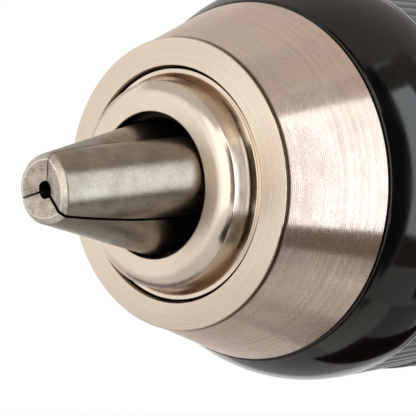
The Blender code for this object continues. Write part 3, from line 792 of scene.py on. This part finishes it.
def grooves_shape(number):
    """Cutters for the grooves of the conical thread, each flat across the jaw, offset by the jaw's angle."""
    start = THREAD_FRONT + THREAD_PITCH * jaw_turn(number) / (2 * math.pi)
    first = math.ceil((GROOVES[0] - start) / THREAD_PITCH)
    last = math.floor((GROOVES[1] - start) / THREAD_PITCH)
    shape = bmesh.new()
    for turn in range(first, last + 1):
        middle = start + turn * THREAD_PITCH
        corners = []
        for side, level in ((-1, -GROOVE_DEPTH), (1, -GROOVE_DEPTH), (1, PROUD), (-1, PROUD)):
            station = middle + side * (GROOVE_HALF_FLOOR + GROOVE_FLANK * (level + GROOVE_DEPTH))
            corners.append((jaw_reach(station) + level, -PAST_JAW, station))
        prism(shape, corners, (0.0, 2 * PAST_JAW, 0.0))
    return shape


def sector_shape(number):
    """The third of the chuck that a jaw fills, short of its neighbours by half of each slit."""
    back, ahead = HALF_SLITS[number]
    x, y = (back + ahead) / 2 / math.sin(math.pi / 3), back - ahead
    spread = CUT_REACH * math.tan(math.pi / 3)
    corners = [(x, y), (x + CUT_REACH, y - spread), (x + CUT_REACH, y + spread)]
    shape = bmesh.new()
    prism(shape, [(*corner, CUT_FRONT) for corner in corners], (0, 0, CUT_LENGTH))
    return shape


def hole_shape():
    """The hole that the three gripping edges leave in the middle."""
    shape = bmesh.new()
    sizes = {"radius1": HOLE_RADIUS, "radius2": HOLE_RADIUS, "depth": -2 * CUT_FRONT}
    bmesh.ops.create_cone(shape, cap_ends=True, segments=HOLE_SIDES, **sizes)
    bmesh.ops.rotate(shape, verts=shape.verts, matrix=Matrix.Rotation(math.pi / HOLE_SIDES, 3, "Z"))
    return shape


def soften_edges(made):
    """Rounds a jaw's cut edges and shades its flats evenly."""
    bevel = made.modifiers.new("edges", "BEVEL")
    bevel.width = EDGE_ROUNDING * MM
    bevel.segments = 2
    bevel.limit_method = "ANGLE"
    bevel.angle_limit = math.radians(SHARP)
    bevel.use_clamp_overlap = True
    bake_modifiers(made)
    made.data.shade_smooth()
    made.data.set_sharp_from_angle(angle=math.radians(40))
    weighted = made.modifiers.new("weighted", "WEIGHTED_NORMAL")
    weighted.mode = "FACE_AREA"
    weighted.weight = 100
    weighted.keep_sharp = True
    bake_modifiers(made)


JAW_FINISHES = (JAW, TIP_FACE, TIP_EDGE, SLIT_SHADE, RIM_HIGHLIGHT)


def jaw_finish(face, tip, front, outward):
    """The flat tip, its rounding with a painted highlight or its chamfer, the slits' sides in painted shade,
    or the ground bar.
    """
    slope = face.normal.dot(front)
    if slope > FORWARD and (face.center - tip).dot(front) > -TIP_DEPTH * MM:
        if slope > FORWARD_FLAT:
            return TIP_FACE
        # The rounding between tip and chamfer gets the painted highlight
        return RIM_HIGHLIGHT if slope > FORWARD_RIM_HIGHLIGHT else TIP_EDGE
    # Faces turned to the axis, in the slits and the hole, get the painted shade
    return SLIT_SHADE if face.normal.dot(outward) < INWARD else JAW


def jaw(number):
    """A round bar in its bore's line: flat tip with a rounded chamfer, flats at the slits, thread grooves."""
    outline = [
        (0.0, 0.0),
        (0.0, JAW_RADIUS - TIP_CHAMFER, 0.11),
        (TIP_CHAMFER, JAW_RADIUS, 0.16),
        (JAW_LENGTH - TAIL_CHAMFER, JAW_RADIUS, 0.1),
        (JAW_LENGTH, JAW_RADIUS - TAIL_CHAMFER, 0.1),
        (JAW_LENGTH, 0.0),
    ]
    place = AXIS @ SCALE @ jaw_matrix(number)
    side = jaw_side(number)
    mesh = finish_mesh(f"jaw_{number}", lathe_shape(soft(outline), 96, closed=False))
    made = add(f"jaw_{number}_ground", mesh, JAW, place)
    carve(
        made,
        [
            (cutter("sector", sector_shape(number), side), "INTERSECT"),
            (cutter("hole", hole_shape(), side), "DIFFERENCE"),
            (cutter("grooves", grooves_shape(number), side), "DIFFERENCE"),
        ],
    )
    for finish in JAW_FINISHES[1:]:
        made.data.materials.append(finish)
    soften_edges(made)
    front = (place.to_3x3() @ Vector((0, 0, -1))).normalized()
    outward = (side.to_3x3() @ Vector((1, 0, 0))).normalized()
    tip = place @ Vector((0, 0, 0))
    for face in made.data.polygons:
        face.material_index = JAW_FINISHES.index(jaw_finish(face, tip, front, outward))
    settle(made, f"jaw_body_{number}", f"jaw_{number}")


# ---------------------------------------------------------------- body


def bore_shape():
    """A jaw's bore, longer than the body at both ends."""
    radius = JAW_RADIUS + BORE_GAP
    middle = Matrix.Translation((0, 0, 20))
    sizes = {"radius1": radius, "radius2": radius, "depth": 120.0}
    shape = bmesh.new()
    bmesh.ops.create_cone(shape, cap_ends=True, segments=72, matrix=middle, **sizes)
    return shape


def chuck_body():
    """The turned body with its flange, hub and clip groove, both end bores and three slanted jaw bores."""
    edge = 0.25
    front, shoulder = -2.0, 3.5
    waist_front, waist_rear = 17.759, 25.359
    flange_front, hub_front = 30.559, 46.597
    web_front, web_rear, thread_end = 31.0, 36.0, 37.6
    shank_radius, neck_radius, barrel_radius, waist_radius = 6.75, 9.588, 13.109, 12.009
    seat_radius, flange_radius, rear_radius = 16.738, 20.138, 17.438
    screw_radius, head_radius = 3.2, 5.75
    groove_radius = HUB_RADIUS - 0.9
    outline = [
        (front, shank_radius, 0.15),
        (front, neck_radius, 0.3),
        (shoulder, neck_radius),
        (shoulder, barrel_radius, edge),
        (waist_front, barrel_radius, edge),
        (waist_front, waist_radius),
        (waist_rear, waist_radius),
        (waist_rear, seat_radius, edge),
        (flange_front, seat_radius),
        (flange_front, flange_radius, edge),
        (FLANGE_REAR, flange_radius, edge),
        (FLANGE_REAR, rear_radius),
        (hub_front, rear_radius, edge),
        (hub_front, HUB_RADIUS),
        (GROOVE_FRONT, HUB_RADIUS, 0.08),
        (GROOVE_FRONT, groove_radius),
        (GROOVE_REAR, groove_radius),
        (GROOVE_REAR, HUB_RADIUS, 0.08),
        (SEAT, HUB_RADIUS, 0.5),
        (SEAT, 6.72, 0.12),
        (SEAT - 0.75, SPINDLE_RADIUS, 0.1),
        (thread_end, SPINDLE_RADIUS),
        (thread_end, head_radius),
        (web_rear, head_radius),
        (web_rear, screw_radius),
        (web_front, screw_radius),
        (web_front, shank_radius),
    ]
    mesh = finish_mesh("chuck_body", lathe_shape(soft(outline), 192))
    made = add("chuck_body_machined", mesh, BODY, AXIS @ SCALE)
    sides = [AXIS @ SCALE @ jaw_matrix(number) for number in JAWS]
    carve(made, [(cutter("bore", bore_shape(), side), "DIFFERENCE") for side in sides])
    made.data.shade_smooth()
    made.data.set_sharp_from_angle(angle=math.radians(SHARP))
    settle(made, "chuck", "chuck_body")


SPINDLE_PITCH = 1.27
RIDGE_HEIGHT = 0.60
RIDGE_HALF_FOOT = 0.58
RIDGE_HALF_CREST = 0.09
RIDGE_SUNK = 0.06
RIDGE_FADE = 1.5
RIDGE_THINNEST = 0.05
STEPS_PER_TURN = 96


def spindle_thread():
    """The 1/2 inch by 20 thread in the spindle bore: one helical ridge that fades at both ends."""
    start, end = 38.4, SEAT - 0.9
    turns = (end - start) / SPINDLE_PITCH
    count = int(turns * STEPS_PER_TURN)
    foot = SPINDLE_RADIUS + RIDGE_SUNK
    shape = bmesh.new()
    rings = []
    for step in range(count + 1):
        share = step / count
        station = start + (end - start) * share
        fade = min(1.0, share * turns * RIDGE_FADE, (1 - share) * turns * RIDGE_FADE)
        crest = foot - RIDGE_HEIGHT * fade
        thin = max(fade, RIDGE_THINNEST)
        half_foot, half_crest = RIDGE_HALF_FOOT * thin, RIDGE_HALF_CREST * thin
        section = [
            (station - half_foot, foot),
            (station - half_crest, crest),
            (station + half_crest, crest),
            (station + half_foot, foot),
        ]
        rings.append(ring_at(shape, 2 * math.pi * turns * share, section))
    end_to_end(shape, rings)
    made = add("spindle_thread", finish_mesh("spindle_thread", shape), BODY, AXIS @ SCALE)
    settle(made, "chuck")


def rear_cover():
    """The pressed plate behind the jaws' tails, with a shallow sunk ring behind and a groove in front."""
    rim = 20.594
    hole = 12.15
    outline = [
        (COVER_FRONT, hole, 0.1),
        (COVER_FRONT, 18.29),
        (51.287, 19.79),
        (COVER_FRONT, 20.19),
        (COVER_FRONT, rim, 0.1),
        (COVER_REAR, rim, 0.35),
        (COVER_REAR, 19.2, 0.2),
        (51.637, 18.6, 0.2),
        (51.637, 15.4, 0.2),
        (COVER_REAR, 14.8, 0.2),
        (COVER_REAR, hole, 0.15),
    ]
    lathe("rear_cover_pressed", soft(outline), ZINC, "chuck", "rear_cover")


def retaining_clip():
    """The spring ring in the hub's groove: an open C of round-edged flat wire."""
    front, rear = 52.337, 53.337
    inner, outer = 11.25, 13.25
    half_gap = 2.5
    half_open = math.asin(half_gap / inner)
    corners = [(front, inner, 0.12), (front, outer, 0.25), (rear, outer, 0.25), (rear, inner, 0.12)]
    section = soft(corners, 3)
    steps = 150
    shape = bmesh.new()
    rings = []
    for step in range(steps + 1):
        angle = half_open + (2 * math.pi - 2 * half_open) * step / steps
        rings.append(ring_at(shape, angle, section))
    end_to_end(shape, rings)
    made = add("retaining_clip_spring", finish_mesh("retaining_clip", shape), OXIDE, AXIS @ SCALE)
    settle(made, "chuck", "retaining_clip")


# ---------------------------------------------------------------- carried-over CAD nodes


def dress(name, finish):
    """Gives a CAD node that stays visible its material and smooth shading."""
    node = frame["nodes"][name]
    node.data.materials.clear()
    node.data.materials.append(finish)
    for face in node.data.polygons:
        face.material_index = 0
    node.data.shade_smooth()
    node.data.set_sharp_from_angle(angle=math.radians(SHARP))


def dress_inside():
    """The nut, bearing, cage and screw, which show only through the chuck's openings."""
    for name in ("nut_half_a", "nut_half_b", "nut_collar"):
        dress(name, NUT)
    for name in ("nut_race", "thrust_ring"):
        dress(name, BEARING)
    dress("ball_cage", NYLON)
    dress("retaining_screw", OXIDE)
    for name in frame["nodes"]:
        if name.startswith("ball_") and name != "ball_cage":
            dress(name, BEARING)


# ---------------------------------------------------------------- camera, light and floor

CAMERA_AZIMUTH = math.radians(41.75)
CAMERA_ELEVATION = math.radians(3.14)
CAMERA_LENS = 135.1
FACE_IN_VIEW = Vector((-3.702, 2.403, -158.593)) * MM


def camera():
    """The photograph's view. FACE_IN_VIEW is the middle of the shroud's face in the camera's own axes."""
    a, e = CAMERA_AZIMUTH, CAMERA_ELEVATION
    right = Vector((math.cos(a), math.sin(a), 0.0))
    back = Vector((math.sin(a) * math.cos(e), -math.cos(a) * math.cos(e), math.sin(e)))
    up = back.cross(right)
    face = Vector((0.0, FACE_Y, 0.0))
    place = face - right * FACE_IN_VIEW.x - up * FACE_IN_VIEW.y - back * FACE_IN_VIEW.z
    data = bpy.data.cameras.new("camera")
    data.lens = CAMERA_LENS
    data.sensor_width = 36.0
    data.clip_start = 0.01
    made = bpy.data.objects.new("camera", data)
    made.matrix_world = Matrix.Translation(place) @ Matrix((right, up, back)).transposed().to_4x4()
    bpy.context.scene.collection.objects.link(made)
    bpy.context.scene.camera = made


LAMP_AIM = Vector((0.0, -0.045, 0.0))
FLOOR = -0.085
FLOOR_MIDDLE = (0.0, -0.03)
FLOOR_FADE = (0.16, 0.32)
WORLD_LIGHT = 0.55
WORLD_SEEN = 1.0


def lamp(name, direction, distance, size, watts):
    """A soft square lamp that faces the chuck from a direction. The cards stand in for it in reflections."""
    data = bpy.data.lights.new(name, "AREA")
    data.shape = "SQUARE"
    data.size = size
    data.energy = watts
    made = bpy.data.objects.new(name, data)
    direction = Vector(direction).normalized()
    made.location = LAMP_AIM + direction * distance
    made.rotation_euler = direction.to_track_quat("Z", "Y").to_euler()
    made.visible_camera = False
    made.visible_glossy = False
    bpy.context.scene.collection.objects.link(made)


def card(name, corners, level):
    """A studio card that only reflections see, at one even level of red, green and blue."""
    mesh = bpy.data.meshes.new(name)
    mesh.from_pydata(corners, [], [(0, 1, 2, 3)])
    made = bpy.data.objects.new(name, mesh)
    made.visible_camera = False
    made.visible_diffuse = False
    made.visible_shadow = False
    made.visible_transmission = False
    finish = bpy.data.materials.new(name)
    finish.use_nodes = True
    tree = finish.node_tree
    tree.nodes.clear()
    emission = tree.nodes.new("ShaderNodeEmission")
    emission.inputs["Color"].default_value = (*level, 1.0)
    output = tree.nodes.new("ShaderNodeOutputMaterial")
    tree.links.new(emission.outputs[0], output.inputs["Surface"])
    mesh.materials.append(finish)
    bpy.context.scene.collection.objects.link(made)


CARD_MIDDLE = Vector((0.008, -0.048))
NEAR = 0.175
FAR = 0.3


def wall(name, span, heights, level, distance=NEAR):
    """An upright card round the chuck's nose, between two angles in degrees from +X towards +Y."""
    feet = []
    for degrees in span:
        angle = math.radians(degrees)
        feet.append((CARD_MIDDLE.x + distance * math.cos(angle), CARD_MIDDLE.y + distance * math.sin(angle)))
    (x0, y0), (x1, y1) = feet
    low, high = heights
    card(name, [(x0, y0, low), (x1, y1, low), (x1, y1, high), (x0, y0, high)], level)


def sheet(name, x, y, z, level):
    """A level card over a rectangle from one x to another and one y to another."""
    card(name, [(x[0], y[0], z), (x[1], y[0], z), (x[1], y[1], z), (x[0], y[1], z)], level)


def world():
    """A white surround for the camera and for reflections, which lights dull surfaces less."""
    made = bpy.data.worlds.new("studio")
    bpy.context.scene.world = made
    made.use_nodes = True
    tree = made.node_tree
    background = tree.nodes["Background"]
    path = tree.nodes.new("ShaderNodeLightPath")
    seen = tree.nodes.new("ShaderNodeMath")
    seen.operation = "MAXIMUM"
    tree.links.new(path.outputs["Is Camera Ray"], seen.inputs[0])
    tree.links.new(path.outputs["Is Glossy Ray"], seen.inputs[1])
    strength = tree.nodes.new("ShaderNodeMapRange")
    strength.inputs["To Min"].default_value = WORLD_LIGHT
    strength.inputs["To Max"].default_value = WORLD_SEEN
    tree.links.new(seen.outputs[0], strength.inputs["Value"])
    background.inputs["Color"].default_value = (1.0, 1.0, 1.0, 1.0)
    tree.links.new(strength.outputs[0], background.inputs["Strength"])


def floor():
    """A pale floor well below the chuck, which fades to white for the camera and for reflections."""
    shape = bmesh.new()
    bmesh.ops.create_grid(shape, x_segments=1, y_segments=1, size=6.0)
    mesh = bpy.data.meshes.new("floor")
    shape.to_mesh(mesh)
    shape.free()
    made = bpy.data.objects.new("floor", mesh)
    made.location = (*FLOOR_MIDDLE, FLOOR)
    bpy.context.scene.collection.objects.link(made)
    n = Nodes("floor")
    n.set(Base_Color=(0.86, 0.86, 0.86), Roughness=0.9)
    tree = n.tree
    path = tree.nodes.new("ShaderNodeLightPath")
    white = tree.nodes.new("ShaderNodeEmission")
    white.inputs["Strength"].default_value = WORLD_SEEN
    length = tree.nodes.new("ShaderNodeVectorMath")
    length.operation = "LENGTH"
    tree.links.new(n.coords, length.inputs[0])
    far = n.spread(length.outputs["Value"], *FLOOR_FADE)
    seen = n.math("MAXIMUM", path.outputs["Is Camera Ray"], path.outputs["Is Glossy Ray"])
    blend = tree.nodes.new("ShaderNodeMixShader")
    tree.links.new(n.math("MULTIPLY", far, seen), blend.inputs[0])
    tree.links.new(n.shader.outputs[0], blend.inputs[1])
    tree.links.new(white.outputs[0], blend.inputs[2])
    tree.links.new(blend.outputs[0], tree.nodes["Material Output"].inputs["Surface"])
    mesh.materials.append(n.material)


# Levels and spans that several cards share, and the heights of the sheets, a layer or more over the floor
BLACK = (0.02, 0.015, 0.012)
BROWN = (0.10, 0.07, 0.05)
WARM_GREY = (0.34, 0.30, 0.28)
LIGHT = (1.55, 1.55, 1.5)
SOFTBOX_SPAN = (1.5, 21)
REAR_SPAN = (21.5, 46)
FRONT_SPAN = (-42, -17)
LAYER = 0.001
SHEET = FLOOR + 2 * LAYER
LOW_SHEET = SHEET - LAYER
HIGH_SHEET = SHEET + LAYER


def upright_cards():
    """On the right a softbox between dark cards, for the cone's bright zone, and lighter cards in front."""
    wall("softbox", SOFTBOX_SPAN, (SHEET, 0.165), (3.1, 3.55, 4.0))
    wall("flag_front", (-17, 1), (SHEET, 0.32), BLACK)
    wall("grey_rear", REAR_SPAN, (-0.052, 0.152), (0.36, 0.28, 0.21))
    wall("flag_rear_low", REAR_SPAN, (SHEET, -0.053), (0.08, 0.05, 0.035))
    wall("flag_rear_high", (21.5, 48), (0.153, 0.262), WARM_GREY)
    wall("flag_above", SOFTBOX_SPAN, (0.167, 0.262), WARM_GREY)
    wall("front_light", (-90, -42), (SHEET, 0.3), LIGHT, FAR)
    wall("front_light_high", FRONT_SPAN, (0.2, 0.3), LIGHT, FAR)
    wall("shade_left", (138, 176), (-0.05, 0.2), (0.60, 0.59, 0.58), FAR)
    wall("front_dark", FRONT_SPAN, (SHEET, 0.2), BROWN, FAR)
    wall("front_glint", (-126, -106), (0.0, 0.09), (1.3, 1.3, 1.3), FAR)


def level_cards():
    """Under the chuck graded greys, which the cone, sleeve and ring mirror, and a ceiling over it."""
    sheet("flag_below", (0.103, 0.185), (-0.045, 0.1), SHEET, (0.20, 0.15, 0.12))
    sheet("floor_front", (-0.13, 0.055), (-0.075, -0.04), LOW_SHEET, (0.18, 0.18, 0.18))
    sheet("floor_glow", (0.0, 0.055), (-0.04, -0.018), LOW_SHEET, (0.78, 0.75, 0.73))
    sheet("floor_grey", (0.0, 0.055), (-0.018, 0.03), LOW_SHEET, (0.36, 0.36, 0.36))
    sheet("floor_middle", (-0.13, 0.0), (-0.04, 0.03), LOW_SHEET, (0.52, 0.51, 0.50))
    sheet("floor_left", (-0.3, -0.03), (0.032, 0.2), LOW_SHEET, (1.0, 1.0, 1.0))
    sheet("flag_floor", (0.055, 0.2), (-0.15, -0.047), SHEET, BLACK)
    sheet("flag_floor_rear", (0.06, 0.19), (0.0, 0.12), HIGH_SHEET, BROWN)
    sheet("flag_ceiling", (0.02, 0.17), (-0.12, -0.05), 0.248, (0.05, 0.05, 0.05))
    sheet("shade_floor", (-0.012, 0.022), (-0.02, 0.055), SHEET, (0.02, 0.008, 0.006))
    sheet("ceiling", (-0.3, 0.155), (-0.3, 0.3), 0.25, (0.58, 0.54, 0.52))


def studio():
    """The photograph's view, light and surroundings."""
    camera()
    world()
    floor()
    lamp("lamp_right", (0.95, 0.12, 0.1), distance=0.5, size=0.4, watts=0.8)
    lamp("lamp_top", (0.1, 0.2, 1.0), distance=0.6, size=0.6, watts=0.7)
    lamp("lamp_front", (-0.55, -0.8, 0.25), distance=0.7, size=0.5, watts=0.8)
    upright_cards()
    level_cards()


nose_ring()
cone_shroud()
grip_sleeve()
for jaw_number in JAWS:
    jaw(jaw_number)
chuck_body()
spindle_thread()
rear_cover()
retaining_clip()
dress_inside()
studio()

view = bpy.context.scene.view_settings
view.view_transform = "Standard"
